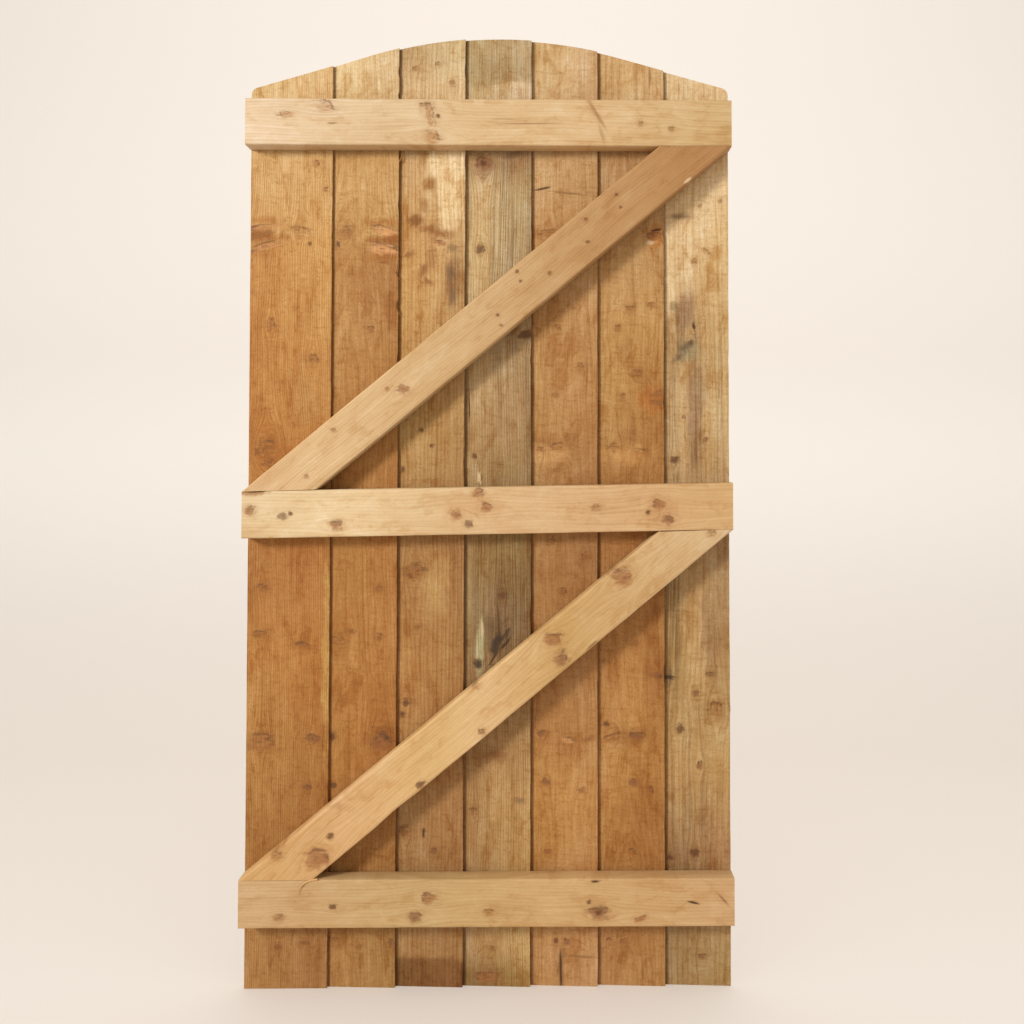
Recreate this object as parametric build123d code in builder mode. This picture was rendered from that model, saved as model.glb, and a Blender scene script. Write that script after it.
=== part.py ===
"""Arched-top ledged and braced garden gate leaf: feather-edge boards nailed to three ledges and two braces.

Millimetres. +X runs from the hinge side to the latch side, +Z is up, and -Y is the side with the ledges.
The origin is at the bottom, in the middle of the leaf's width and of its overall thickness.
"""
import os
from math import cos, radians, sin, tan

from build123d import *

# Leaf
gate_width = 915.0
gate_height = 1800.0  # to the top of the arch
arch_centre_x = 6.0  # the arch was marked out slightly towards the latch side
arch_radius = 850.0
arch_flank_angle = 16.5  # degrees; straight flanks run on from the arc
arch_corner_radius = 15.0

# Feather-edge boards, hinge side first; each one laps over the thin edge of the one before
board_count = 7
board_width = 156.0
board_pitch = 127.0
board_thin_edge = 5.0
board_thick_edge = 14.0

# Planed carcassing timber for the ledges and braces
timber_width = 88.0
timber_depth = 38.0
timber_easing = 3.0
top_ledge_z = 1625.5
middle_ledge_z = 895.5
bottom_ledge_z = 172.5
middle_ledge_tilt = 1.0  # degrees; it was fixed slightly out of level, low at the hinge side
brace_foot = 137.0  # length of the level cut at each end of a brace

# Round wire nails, driven from the board side
nail_length = 45.0
nail_point = 4.0
nail_radius = 1.35
nail_head_radius = 3.25
nail_head_thickness = 1.2
nail_head_proud = 0.2
ledge_nail_offsets = (45.0, 105.0)  # from the thick edge of each board
brace_nail_first_offset = 100.0
brace_nail_offset_step = 8.0  # less for each board, so that the end nails stay clear of the cuts

# Derived sizes
left = -gate_width / 2
right = gate_width / 2
lap = board_width - board_pitch


def board_lifts():
    """How far each board's thick edge is held off the ledges by the board before it."""
    lifts = [0.0]
    while len(lifts) < board_count:
        step = board_thin_edge + (lifts[-1] + board_thick_edge - board_thin_edge) * lap / board_width
        lifts.append(step)
    return lifts


lifts = board_lifts()
leaf_thickness = timber_depth + max(lifts) + board_thick_edge
ledge_back_y = timber_depth - leaf_thickness / 2  # the plane that the boards are fixed against
ledge_front_y = ledge_back_y - timber_depth


def board_left(index):
    """X of a board's thick edge."""
    return left + index * board_pitch


def board_right(index):
    """X of a board's thin edge; the last board is ripped to the leaf's edge."""
    return min(board_left(index) + board_width, right)


def board_thickness(index, x):
    """A board's thickness at x."""
    share = (x - board_left(index)) / board_width
    return board_thick_edge + (board_thin_edge - board_thick_edge) * share


def board_rear(index, x):
    """Y of a board's inner face at x; the thin edge lies on the ledges."""
    share = (board_right(index) - x) / (board_right(index) - board_left(index))
    return ledge_back_y + lifts[index] * share


def board_front(index, x):
    """Y of a board's outer face at x."""
    return board_rear(index, x) + board_thickness(index, x)


def ledge_edge(centre_z, tilt, side, x):
    """Z of a ledge's upper edge (side 1) or lower edge (side -1) at x."""
    return centre_z + x * tan(radians(tilt)) + side * timber_width / 2 / cos(radians(tilt))


def board_outline(index):
    """A board's section, seen from above."""
    thick_x = board_left(index)
    thin_x = board_right(index)
    return [
        (thin_x, board_rear(index, thin_x)),
        (thin_x, board_front(index, thin_x)),
        (thick_x, board_front(index, thick_x)),
        (thick_x, board_rear(index, thick_x)),
    ]


def ledge_outline(centre_z, tilt):
    """A ledge's front face, with its ends cut plumb at the leaf's edges."""
    return [
        (left, ledge_edge(centre_z, tilt, -1, left)),
        (right, ledge_edge(centre_z, tilt, -1, right)),
        (right, ledge_edge(centre_z, tilt, 1, right)),
        (left, ledge_edge(centre_z, tilt, 1, left)),
    ]


def brace_outline(lower, upper):
    """A brace's front face, its ends cut to bear on the ledges; it rises from the hinge side."""
    foot_x = left + brace_foot
    head_x = right - brace_foot
    return [
        (left, ledge_edge(*lower, 1, left)),
        (foot_x, ledge_edge(*lower, 1, foot_x)),
        (right, ledge_edge(*upper, -1, right)),
        (head_x, ledge_edge(*upper, -1, head_x)),
    ]


def brace_centre_z(lower, upper, x):
    """Z of a brace's centre line at x."""
    foot_x = left + brace_foot / 2
    head_x = right - brace_foot / 2
    foot_z = ledge_edge(*lower, 1, foot_x)
    head_z = ledge_edge(*upper, -1, head_x)
    return foot_z + (head_z - foot_z) * (x - foot_x) / (head_x - foot_x)


# Each ledge is its centre height and tilt; each brace is the ledges below and above it.
bottom_ledge = (bottom_ledge_z, 0.0)
middle_ledge = (middle_ledge_z, middle_ledge_tilt)
top_ledge = (top_ledge_z, 0.0)
ledges = {"ledge_bottom": bottom_ledge, "ledge_middle": middle_ledge, "ledge_top": top_ledge}
braces = {"brace_lower": (bottom_ledge, middle_ledge), "brace_upper": (middle_ledge, top_ledge)}


def ledge_nails(ledge, index):
    """Points on one board's outer face where it is nailed to a ledge."""
    centre_z, tilt = ledge
    points = []
    for offset in ledge_nail_offsets:
        x = board_left(index) + offset
        points.append((x, board_front(index, x), centre_z + x * tan(radians(tilt))))
    return points


def brace_nails(brace, index):
    """The point on one board's outer face where it is nailed to a brace."""
    x = board_left(index) + brace_nail_first_offset - brace_nail_offset_step * index
    return [(x, board_front(index, x), brace_centre_z(*brace, x))]


def nails_into(name):
    """Every nail that goes into one ledge or brace."""
    points = []
    for index in range(board_count):
        if name in ledges:
            points += ledge_nails(ledges[name], index)
        else:
            points += brace_nails(braces[name], index)
    return points


def nails_through(index):
    """Every nail that goes through one board."""
    points = []
    for ledge in ledges.values():
        points += ledge_nails(ledge, index)
    for brace in braces.values():
        points += brace_nails(brace, index)
    return points


def drive_nails(points, mode):
    """Adds nails to the part being built, or takes their holes out of it."""
    for x, y, z in points:
        head_top = y + nail_head_proud
        with Locations(Location((x, head_top, z), (90, 0, 0))):
            # Local +Z now runs along -Y, from the head into the timber.
            down = (Align.CENTER, Align.CENTER, Align.MIN)
            Cylinder(nail_head_radius, nail_head_thickness, align=down, mode=mode)
            Cylinder(nail_radius, nail_length - nail_point, align=down, mode=mode)
            with Locations((0, 0, nail_length - nail_point)):
                Cone(nail_radius, nail_radius / 4, nail_point, align=down, mode=mode)


def cut_nail_holes(points):
    """Takes the holes for some nails out of the part being built, with the heads' seats open outwards."""
    drive_nails(points, Mode.SUBTRACT)
    for x, y, z in points:
        seat_floor = y + nail_head_proud - nail_head_thickness
        with Locations(Location((x, seat_floor, z), (-90, 0, 0))):
            Cylinder(
                nail_head_radius,
                2 * nail_head_thickness,
                align=(Align.CENTER, Align.CENTER, Align.MIN),
                mode=Mode.SUBTRACT,
            )


def finish(builder, name):
    """Labels a finished piece and writes it out."""
    builder.part.label = name
    export_step(builder.part, f"parts/{name}.step")


os.makedirs("parts", exist_ok=True)

# The arched outline that all the boards are cut to
arch_bend_x = arch_radius * sin(radians(arch_flank_angle))
arch_bend_z = gate_height - arch_radius * (1 - cos(radians(arch_flank_angle)))
flank_slope = tan(radians(arch_flank_angle))
left_bend_x = arch_centre_x - arch_bend_x
right_bend_x = arch_centre_x + arch_bend_x
left_shoulder_z = arch_bend_z - (left_bend_x - left) * flank_slope
right_shoulder_z = arch_bend_z - (right - right_bend_x) * flank_slope

with BuildPart() as arch:
    with BuildSketch(Plane.XZ) as leaf_outline:
        with BuildLine():
            Polyline((right_bend_x, arch_bend_z), (right, right_shoulder_z), (right, 0), (left, 0))
            Polyline((left, 0), (left, left_shoulder_z), (left_bend_x, arch_bend_z))
            ThreePointArc(
                (left_bend_x, arch_bend_z),
                (arch_centre_x, gate_height),
                (right_bend_x, arch_bend_z),
            )
        make_face()
    extrude(amount=leaf_thickness, both=True)
    uprights = arch.edges().filter_by(Axis.Y)
    shoulders = uprights.group_by(Axis.X)[0].sort_by(Axis.Z)[-1:]
    shoulders += uprights.group_by(Axis.X)[-1].sort_by(Axis.Z)[-1:]
    fillet(shoulders, arch_corner_radius)

# Boards
for index in range(board_count):
    with BuildPart() as board:
        with BuildSketch(Plane.XY):
            Polygon(*board_outline(index), align=None)
        extrude(amount=gate_height)
        add(arch.part, mode=Mode.INTERSECT)
        cut_nail_holes(nails_through(index))
    finish(board, f"board_{index + 1}")

# Ledges
for name, ledge in ledges.items():
    with BuildPart() as timber:
        with BuildSketch(Plane.XZ.offset(-ledge_back_y)):
            Polygon(*ledge_outline(*ledge), align=None)
        extrude(amount=timber_depth)
        fillet(timber.edges().sort_by(SortBy.LENGTH)[-4:], timber_easing)
        drive_nails(nails_into(name), Mode.SUBTRACT)
    finish(timber, name)

# Braces
for name, brace in braces.items():
    with BuildPart() as timber:
        with BuildSketch(Plane.XZ.offset(-ledge_back_y)):
            Polygon(*brace_outline(*brace), align=None)
        extrude(amount=timber_depth)
        fillet(timber.edges().sort_by(SortBy.LENGTH)[-4:], timber_easing)
        drive_nails(nails_into(name), Mode.SUBTRACT)
    finish(timber, name)

# Nails, one group for each ledge and brace
for name in [*ledges, *braces]:
    with BuildPart() as nails:
        drive_nails(nails_into(name), Mode.ADD)
    finish(nails, f"nails_{name}")
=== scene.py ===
"""Looks for the garden gate leaf: sawn feather-edge boards, planed ledges and braces and zinc-coated nails,
in a pale studio. Sizes are in millimetres, but finished meshes and the studio are in metres."""

from math import atan2, cos, hypot, pi, radians, sin, sqrt, tan

import bmesh
import bpy
import numpy as np
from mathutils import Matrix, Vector


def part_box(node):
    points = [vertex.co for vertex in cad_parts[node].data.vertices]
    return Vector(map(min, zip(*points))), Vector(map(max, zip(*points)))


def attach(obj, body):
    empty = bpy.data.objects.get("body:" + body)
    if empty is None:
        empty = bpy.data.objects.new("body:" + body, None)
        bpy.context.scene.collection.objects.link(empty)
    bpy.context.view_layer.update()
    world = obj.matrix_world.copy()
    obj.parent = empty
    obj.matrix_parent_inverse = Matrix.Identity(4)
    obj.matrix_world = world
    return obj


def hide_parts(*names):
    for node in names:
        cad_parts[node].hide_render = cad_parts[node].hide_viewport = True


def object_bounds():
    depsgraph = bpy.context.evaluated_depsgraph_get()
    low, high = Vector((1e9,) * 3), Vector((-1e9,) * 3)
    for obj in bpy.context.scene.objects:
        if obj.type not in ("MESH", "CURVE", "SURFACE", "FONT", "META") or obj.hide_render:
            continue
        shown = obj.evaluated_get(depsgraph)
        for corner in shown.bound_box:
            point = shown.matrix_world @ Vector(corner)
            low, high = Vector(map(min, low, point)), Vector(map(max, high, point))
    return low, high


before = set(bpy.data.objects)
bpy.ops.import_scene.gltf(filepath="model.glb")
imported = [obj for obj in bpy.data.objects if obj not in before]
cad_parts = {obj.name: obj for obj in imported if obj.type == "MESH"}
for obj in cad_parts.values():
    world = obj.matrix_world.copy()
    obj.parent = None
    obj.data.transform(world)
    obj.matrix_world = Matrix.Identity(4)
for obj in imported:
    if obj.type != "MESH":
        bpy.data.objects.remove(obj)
cad_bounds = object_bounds()

MM = 0.001


# ---- the gate's sizes, as in the CAD
def box_mm(node):
    low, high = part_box(node)
    return low / MM, high / MM


top_low, top_high = box_mm("ledge_top")
LEFT, RIGHT = top_low.x, top_high.x
LEDGE_FRONT, LEDGE_BACK = top_low.y, top_high.y
TIMBER_WIDTH = top_high.z - top_low.z
EASING = 3.0
BOARD_COUNT, BOARD_WIDTH, BOARD_STEP = 7, 156.0, 127.0
THIN_EDGE, THICK_EDGE = 5.0, 14.0
ARCH_X, ARCH_RADIUS, ARCH_TURN = 6.0, 850.0, radians(16.5)
ARCH_TOP = cad_bounds[1].z / MM
SHOULDER = 15.0
TOP_LEDGE = ((top_low.z + top_high.z) / 2, 0.0)  # centre height and tilt
MIDDLE_LEDGE = (895.5, radians(1.0))
BOTTOM_LEDGE = (172.5, 0.0)
BRACE_CUT = 137.0


def arch(x):
    """Height of the arched top at x."""
    bend = ARCH_RADIUS * sin(ARCH_TURN)
    bend_z = ARCH_TOP - ARCH_RADIUS * (1 - cos(ARCH_TURN))
    slope = tan(ARCH_TURN)
    away = np.abs(x - ARCH_X)
    z = ARCH_TOP - ARCH_RADIUS + np.sqrt(np.maximum(ARCH_RADIUS**2 - away**2, 0))
    z = np.where(away < bend, z, bend_z - (away - bend) * slope)
    for side, edge in ((-1, LEFT), (1, RIGHT)):
        corner_z = bend_z - (abs(edge - ARCH_X) - bend) * slope
        centre_z = corner_z + slope * SHOULDER - SHOULDER * sqrt(1 + slope**2)
        out = side * x - (side * edge - SHOULDER)
        rounded = centre_z + np.sqrt(np.maximum(SHOULDER**2 - out**2, 0))
        z = np.where(out > SHOULDER * sin(ARCH_TURN), rounded, z)
    return z


def ledge_edge(ledge, side, x):
    """Z of a ledge's upper edge (side 1) or lower edge (side -1) at x."""
    centre_z, tilt = ledge
    return centre_z + x * tan(tilt) + side * TIMBER_WIDTH / 2 / cos(tilt)


def board_section(index):
    """Left and right X of a board, and functions for its inner and outer faces."""
    lifts = [0.0]
    lap = BOARD_WIDTH - BOARD_STEP
    while len(lifts) <= index:
        lifts.append(THIN_EDGE + (lifts[-1] + THICK_EDGE - THIN_EDGE) * lap / BOARD_WIDTH)
    low, high = box_mm(f"board_{index + 1}")

    def inner(x):
        return LEDGE_BACK + lifts[index] * (high.x - x) / (high.x - low.x)

    def outer(x):
        return inner(x) + THICK_EDGE + (THIN_EDGE - THICK_EDGE) * (x - low.x) / BOARD_WIDTH

    return low.x, high.x, inner, outer


# ---- colour and smooth random fields
def lin(rgb):
    """A display colour, 0 to 255, as linear light."""
    c = np.asarray(rgb, float) / 255.0
    return np.where(c <= 0.04045, c / 12.92, ((c + 0.055) / 1.055) ** 2.4)


def light_at(x, z):
    """The strength of the studio light on the gate's ledge side at x, z, as red, green and blue. It weakens
    to the right and near the floor."""
    across = np.asarray(x, float) / RIGHT
    low = np.clip(1 - np.asarray(z, float) / 900, 0, 1)
    level = (1.30 - 0.135 * across + 0.03 * across**2) * (1 - 0.16 * low**2)
    return level[..., None] * np.array([1.0, 0.97, 0.935])


def hashed(i, j, seed):
    n = np.sin(i * 127.1 + j * 311.7 + seed * 74.7) * 43758.5453
    return n - np.floor(n)


def value_noise(a, b, seed):
    i, j = np.floor(a), np.floor(b)
    u, v = a - i, b - j
    u, v = u * u * (3 - 2 * u), v * v * (3 - 2 * v)
    low = hashed(i, j, seed) * (1 - u) + hashed(i + 1, j, seed) * u
    high = hashed(i, j + 1, seed) * (1 - u) + hashed(i + 1, j + 1, seed) * u
    return low * (1 - v) + high * v


def cloud(a, b, seed, octaves=3):
    """Fractal noise from -1 to 1."""
    total = sum((value_noise(a * 2**k, b * 2**k, seed + 13 * k) * 2 - 1) * 0.5**k for k in range(octaves))
    return total / sum(0.5**k for k in range(octaves))


def wander(a, seed):
    """Fractal noise from -1 to 1 along a line. Seeds only set one line of noise apart from another."""
    return cloud(a, a * 0, seed)


def smooth(x, low, high):
    t = np.clip((x - low) / (high - low), 0, 1)
    return t * t * (3 - 2 * t)


# The grain that the shaders draw over the tones darkens them on average, so they are lifted by this much.
BOARD_GAIN = np.array([1.215, 1.27, 1.22])
TIMBER_GAIN = np.array([1.10, 1.12, 1.13])


# ---- marks in the timber
# For each style: colour, strength, dark rim, halo, hardness of the edge, how far the grain parts round it.
STYLES = {
    "knot": ((162, 100, 56), 0.62, 0.62, 0.95, 0.40, 1.1),
    "dark": ((100, 60, 34), 0.80, 0.50, 0.85, 0.40, 0.9),
    "black": ((58, 44, 32), 0.90, 0.30, 0.80, 0.35, 0.7),
    "faint": ((158, 98, 46), 0.38, 0.65, 0.95, 0.10, 0.9),
    "swirl": ((190, 126, 64), 0.30, 0.70, 0.95, 0.30, 1.3),
    "rosy": ((226, 160, 100), 0.80, 0.80, 0.80, 0.65, 1.2),
    "plum": ((138, 86, 54), 0.62, 0.65, 0.85, 0.30, 1.0),
    "pale": ((236, 206, 158), 0.70, 0.10, 0.10, 0.45, 0.3),
    "stain": ((146, 92, 46), 0.65, 0.20, 0.65, 0.05, 0.2),
    "grey": ((110, 88, 60), 0.55, 0.10, 0.50, 0.05, 0.0),
    "slit": ((66, 42, 24), 0.90, 0.0, 0.35, 0.40, 0.0),
    "line": ((126, 84, 46), 0.65, 0.0, 0.25, 0.25, 0.0),
}


def mark(x, z, half_x, half_z, style, turn=0.0, strength=1.0):
    """A mark at x, z on both faces of a timber; turn is in degrees, from +X towards +Z."""
    return dict(x=x, z=z, a=half_x, b=half_z, style=style, turn=radians(turn), strength=strength)


def part_grain(across, along, marks, piece):
    """Moves the across-grain coordinate so that the grain parts round each knot."""
    moved = across.copy()
    for m in marks:
        around = STYLES[m["style"]][5] * min(m["strength"], 1.0)
        if around == 0:
            continue
        r = min(m["a"], m["b"])
        centre_across, centre_along = piece.local(m["x"], m["z"])
        du, dv = across - centre_across, along - centre_along
        moved -= around * du * 1.5 * r * r / (du**2 + (dv / 2.2) ** 2 + 0.5 * r * r)
    return moved


def mark_fields(x, z, marks):
    """Two slots of (u, v, seed, mask), colour and shape, for the marks nearest each point."""
    groups = [[], []]
    for m in marks:
        gaps = []
        for group in groups:
            near = [hypot(m["x"] - o["x"], m["z"] - o["z"]) - max(o["a"], o["b"]) for o in group]
            gaps.append(min(near, default=1e9))
        groups[int(gaps[1] > gaps[0])].append(m)
    fields = []
    for group in groups:
        at = np.tile([9.0, 9.0, 0.0, 0.0], (len(x), 1))  # far outside any mark
        look = np.zeros((len(x), 4))
        form = np.zeros((len(x), 3))
        best, second = np.full(len(x), 1e9), np.full(len(x), 1e9)
        for m in group:
            colour, strength, rim, halo, hard, _ = STYLES[m["style"]]
            c, s = cos(m["turn"]), sin(m["turn"])
            dx, dz = x - m["x"], z - m["z"]
            u, v = dx * c + dz * s, -dx * s + dz * c
            reach = np.hypot(u / max(m["a"], 8.0), v / max(m["b"], 8.0))
            closer = reach < best
            second = np.where(closer, best, np.minimum(second, reach))
            best = np.where(closer, reach, best)
            seed = np.full(len(x), (m["x"] * 0.37 + m["z"] * 0.11) % 17)
            at[closer, :3] = np.column_stack([u / m["a"], v / m["b"], seed])[closer]
            look[closer] = [*(lin(colour) / light_at(m["x"], m["z"])), strength * m["strength"]]
            form[closer] = [rim, halo, hard]
        at[:, 3] = smooth(best, 3.4, 2.2) * smooth(second - best, 0.0, 0.8)
        fields.append((at, look, form))
    return fields


# ---- meshes
class Piece:
    """A timber's own axes: along it, across its face and through its depth (Y)."""

    def __init__(self, x, z, turn):
        self.x, self.z, self.c, self.s = x, z, cos(turn), sin(turn)

    def local(self, x, z):
        """Across and along at x, z."""
        dx, dz = x - self.x, z - self.z
        return -dx * self.s + dz * self.c, dx * self.c + dz * self.s

    def world(self, across, along):
        return self.x + along * self.c - across * self.s, self.z + along * self.s + across * self.c


class Skin:
    """Collects a closed skin: points as (across, depth, along) and faces, some of which are end grain."""

    def __init__(self, piece):
        self.piece, self.points, self.faces, self.end_faces, self.count = piece, [], [], [], 0

    def add(self, points):
        self.points.append(points)
        self.count += len(points)
        return self.count - len(points)

    def sweep(self, chain_a, chain_b, start, end, rows, end_steps):
        """Sweeps a section from start to end, which are functions of the distance across. The section is two
        chains of (across, depth) that share their end points."""
        n = len(chain_a)
        ring = np.concatenate([chain_a, chain_b[-2:0:-1]])
        m = len(ring)
        for share in rows:
            along = start(ring[:, 0]) + (end(ring[:, 0]) - start(ring[:, 0])) * share
            self.add(np.column_stack([ring, along]))
        for row in range(len(rows) - 1):
            for j in range(m):
                k = (j + 1) % m
                low, high = row * m, (row + 1) * m
                self.faces.append((low + j, low + k, high + k, high + j))
                self.end_faces.append(0)
        for base, edge in ((0, start), ((len(rows) - 1) * m, end)):
            far = [base] + [base + m - j for j in range(1, n - 1)] + [base + n - 1]
            grid = [[base + j for j in range(n)]]
            for t in range(1, end_steps):
                inner = chain_a[1:-1] + (chain_b[1:-1] - chain_a[1:-1]) * t / end_steps
                first = self.add(np.column_stack([inner, edge(inner[:, 0])]))
                grid.append([base, *range(first, first + n - 2), base + n - 1])
            grid.append(far)
            for t in range(end_steps):
                for j in range(n - 1):
                    corners = (grid[t][j], grid[t][j + 1], grid[t + 1][j + 1], grid[t + 1][j])
                    self.faces.append(tuple(dict.fromkeys(corners)))
                    self.end_faces.append(1)

    def splinter(self, x, z, tip_x, tip_z, y, width, lift):
        """A loose sliver from x, z to its tip, which stands off the face at depth y by lift, towards -Y."""
        steps = 7
        length = hypot(tip_x - x, tip_z - z)
        side_x, side_z = -(tip_z - z) / length, (tip_x - x) / length
        rings = []
        for k in range(steps):
            t = k / (steps - 1)
            half = width / 2 * (1 - t) ** 0.7 + 0.15
            bow = -0.16 * length * sin(pi * t)
            cx = x + (tip_x - x) * t + side_x * bow
            cz = z + (tip_z - z) * t + side_z * bow
            depth = y - lift * t * t
            for out, up in ((-half, 0.5), (half, 0.5), (0, -half * 0.8)):
                px, pz = cx + side_x * out, cz + side_z * out
                rings.append((*self.piece.local(px, pz), depth + up))
        points = np.array(rings)[:, [0, 2, 1]]
        first = self.add(points)
        for k in range(steps - 1):
            for j in range(3):
                a, b = first + 3 * k + j, first + 3 * k + (j + 1) % 3
                self.faces.append((a, b, b + 3, a + 3))
                self.end_faces.append(0)
        last = first + 3 * (steps - 1)
        self.faces += [(first, first + 1, first + 2), (last + 2, last + 1, last)]
        self.end_faces += [0, 0]

    def object(self, name, shape):
        """Makes the object; shape moves the local points before they are placed. Returns it with the points'
        X, Y and Z and the local points."""
        local = shape(np.concatenate(self.points))
        x, z = self.piece.world(local[:, 0], local[:, 2])
        mesh = bpy.data.meshes.new(name)
        mesh.from_pydata((np.column_stack([x, local[:, 1], z]) * MM).tolist(), [], self.faces)
        ends = mesh.attributes.new("end_grain", "FLOAT", "FACE")
        ends.data.foreach_set("value", np.array(self.end_faces, np.float32))
        work = bmesh.new()
        work.from_mesh(mesh)
        bmesh.ops.recalc_face_normals(work, faces=work.faces)
        work.to_mesh(mesh)
        work.free()
        mesh.shade_smooth()
        mesh.set_sharp_from_angle(angle=radians(40))
        obj = bpy.data.objects.new(name, mesh)
        bpy.context.scene.collection.objects.link(obj)
        return obj, x, local[:, 1], z, local


def write(mesh, name, kind, values):
    """Stores a value for each point."""
    field = {"FLOAT_VECTOR": "vector", "FLOAT_COLOR": "color"}[kind]
    attribute = mesh.attributes.new(name, kind, "POINT")
    attribute.data.foreach_set(field, np.ascontiguousarray(values, np.float32).ravel())


def tone_at(x, z, place, share, stops, patches, seed, gain):
    """Base colour from stops of (place, colour at share 0, colour at share 1), or of one colour for both,
    with ragged soft patches over them."""
    places = np.array([s[0] for s in stops], float)
    reach = places[-1] - places[0]
    bent = place + 0.008 * reach * cloud(share * 3 + seed, place / reach * 20, seed + 5)
    sides = []
    for k in (1, 2):
        colours = np.array([lin(s[min(k, len(s) - 1)]) for s in stops])
        sides.append(np.column_stack([np.interp(bent, places, colours[:, i]) for i in range(3)]))
    share = share[:, None]
    colour = (sides[0] * (1 - share) + sides[1] * share) / light_at(x, z)
    for px, pz, half_x, half_z, rgb, strength in patches:
        ragged = 0.8 * cloud((x - px) / 11, (z - pz) / 30, seed + px * 0.01)
        away = np.hypot((x - px) / half_x, (z - pz) / half_z) + ragged
        cover = (strength * smooth(away, 1.40, 0.40))[:, None]
        colour = colour * (1 - cover) + lin(rgb) / light_at(px, pz) * cover
    return np.column_stack([colour * gain, np.ones(len(x))])


def dress(obj, x, z, grain, tone, character, marks, material, node):
    """Writes what the timber shader reads and hands the piece to the frame. The character is how strongly
    the rings, the saw's marks and the grey grain show."""
    mesh = obj.data
    write(mesh, "grain", "FLOAT_VECTOR", grain)
    write(mesh, "tone", "FLOAT_COLOR", tone)
    write(mesh, "character", "FLOAT_VECTOR", character)
    for label, (at, look, form) in zip("ab", mark_fields(x, z, marks)):
        write(mesh, f"mark_{label}", "FLOAT_COLOR", at)
        write(mesh, f"look_{label}", "FLOAT_COLOR", look)
        write(mesh, f"form_{label}", "FLOAT_VECTOR", form)
    mesh.materials.append(material)
    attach(obj, "root")
    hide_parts(node)


# ---- shaders
def operator(operation, swapped=False):
    """An operator between shader values, made as a maths node."""

    def method(self, other):
        values = (other, self) if swapped else (self, other)
        return self.graph.math(operation, *values)

    return method


class Value:
    """A shader output that can be used in sums."""

    def __init__(self, graph, socket):
        self.graph, self.socket = graph, socket

    __add__ = __radd__ = operator("ADD")
    __mul__ = __rmul__ = operator("MULTIPLY")
    __sub__, __rsub__ = operator("SUBTRACT"), operator("SUBTRACT", swapped=True)
    __truediv__ = operator("DIVIDE")


class Graph:
    """A material's node graph, written as sums."""

    def __init__(self, name):
        self.material = bpy.data.materials.new(name)
        self.material.use_nodes = True
        self.tree = self.material.node_tree
        self.shader = next(n for n in self.tree.nodes if n.type == "BSDF_PRINCIPLED")

    def node(self, kind, inputs, output=0, **settings):
        node = self.tree.nodes.new(kind)
        for key, value in settings.items():
            setattr(node, key, value)
        for key, value in inputs.items():
            self.plug(node.inputs[key], value)
        return Value(self, node.outputs[output])

    def plug(self, socket, value):
        if isinstance(value, Value):
            self.tree.links.new(value.socket, socket)
        else:
            socket.default_value = value

    def math(self, operation, *values, clamp=False):
        return self.node("ShaderNodeMath", dict(enumerate(values)), operation=operation, use_clamp=clamp)

    def attribute(self, name, output="Vector"):
        return self.node("ShaderNodeAttribute", {}, output, attribute_name=name)

    def split(self, vector):
        node = self.tree.nodes.new("ShaderNodeSeparateXYZ")
        self.plug(node.inputs[0], vector)
        return [Value(self, output) for output in node.outputs]

    def combine(self, x, y, z):
        return self.node("ShaderNodeCombineXYZ", {0: x, 1: y, 2: z})

    def noise(self, x, y, z, detail=2.0, roughness=0.5):
        inputs = {"Vector": self.combine(x, y, z), "Scale": 1.0, "Detail": detail, "Roughness": roughness}
        return self.node("ShaderNodeTexNoise", inputs, "Fac")

    def ramp(self, value, low, high, to_low=0.0, to_high=1.0):
        inputs = {"Value": value, "From Min": low, "From Max": high, "To Min": to_low, "To Max": to_high}
        return self.node("ShaderNodeMapRange", inputs, interpolation_type="SMOOTHSTEP")

    def mix(self, factor, a, b, mode="MIX"):
        node = self.tree.nodes.new("ShaderNodeMix")
        node.data_type, node.blend_type = "RGBA", mode
        for socket, value in zip((node.inputs[0], node.inputs[6], node.inputs[7]), (factor, a, b)):
            self.plug(socket, value)
        return Value(self, node.outputs[2])

    def tinted(self, colour, factor, tint):
        """The colour multiplied by a tint, where factor is 1."""
        return self.mix(factor, colour, self.mix(1.0, colour, (*tint, 1), "MULTIPLY"))


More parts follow.
